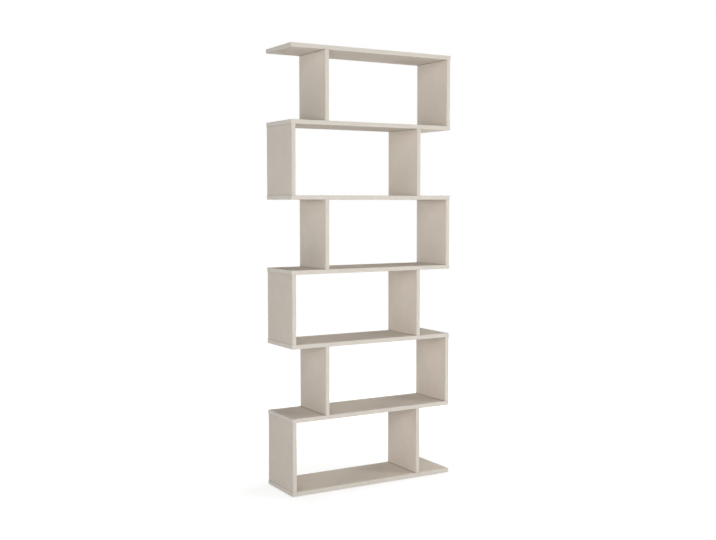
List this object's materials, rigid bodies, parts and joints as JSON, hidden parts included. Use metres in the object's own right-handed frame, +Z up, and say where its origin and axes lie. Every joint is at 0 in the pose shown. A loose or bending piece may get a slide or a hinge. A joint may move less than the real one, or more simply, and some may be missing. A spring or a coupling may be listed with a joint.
{
  "type": "zigzag bookshelf",
  "caption": "Tall narrow open bookshelf: full-width boards on pairs of uprights that step sideways from tier to tier in a zigzag, with wall brackets and floor glides.",
  "frame": {"origin": "on the floor, below the middle of the bookshelf's width and depth", "axes": "+Z up, +X along the shelves to the right as seen from the front, +Y to the back, at the wall"},
  "size_m": [0.8, 0.24, 1.93],
  "materials": {
    "melamine_board": "chipboard faced with plain greige melamine, satin, fine pearl texture",
    "edge_band": "colour-matched plastic edging strip, satin, rounded arrises",
    "cap_plastic": "colour-matched moulded plastic, satin",
    "zinc_steel": "bright zinc-plated steel",
    "beech": "plain compressed beech",
    "glide_plastic": "moulded polyethylene, off-white, matt"
  },
  "bodies": {
    "root": {"bottom_shelf": "melamine_board", "shelf_2": "melamine_board", "shelf_3": "melamine_board", "shelf_4": "melamine_board", "shelf_5": "melamine_board", "shelf_6": "melamine_board", "top_shelf": "melamine_board", "tier_1_left_upright": "melamine_board", "tier_1_right_upright": "melamine_board", "tier_2_left_upright": "melamine_board", "tier_2_right_upright": "melamine_board", "tier_3_left_upright": "melamine_board", "tier_3_right_upright": "melamine_board", "tier_4_left_upright": "melamine_board", "tier_4_right_upright": "melamine_board", "tier_5_left_upright": "melamine_board", "tier_5_right_upright": "melamine_board", "tier_6_left_upright": "melamine_board", "tier_6_right_upright": "melamine_board", "bottom_shelf_edging": "edge_band", "shelf_2_edging": "edge_band", "shelf_3_edging": "edge_band", "shelf_4_edging": "edge_band", "shelf_5_edging": "edge_band", "shelf_6_edging": "edge_band", "top_shelf_edging": "edge_band", "tier_1_left_upright_edging": "edge_band", "tier_1_right_upright_edging": "edge_band", "tier_2_left_upright_edging": "edge_band", "tier_2_right_upright_edging": "edge_band", "tier_3_left_upright_edging": "edge_band", "tier_3_right_upright_edging": "edge_band", "tier_4_left_upright_edging": "edge_band", "tier_4_right_upright_edging": "edge_band", "tier_5_left_upright_edging": "edge_band", "tier_5_right_upright_edging": "edge_band", "tier_6_left_upright_edging": "edge_band", "tier_6_right_upright_edging": "edge_band", "connector_screws": "zinc_steel", "screw_caps": "cap_plastic", "dowels": "beech", "wall_brackets": "zinc_steel", "bracket_screws": "zinc_steel", "floor_glides": "glide_plastic", "glide_nails": "zinc_steel"}
  },
  "joints": []
}
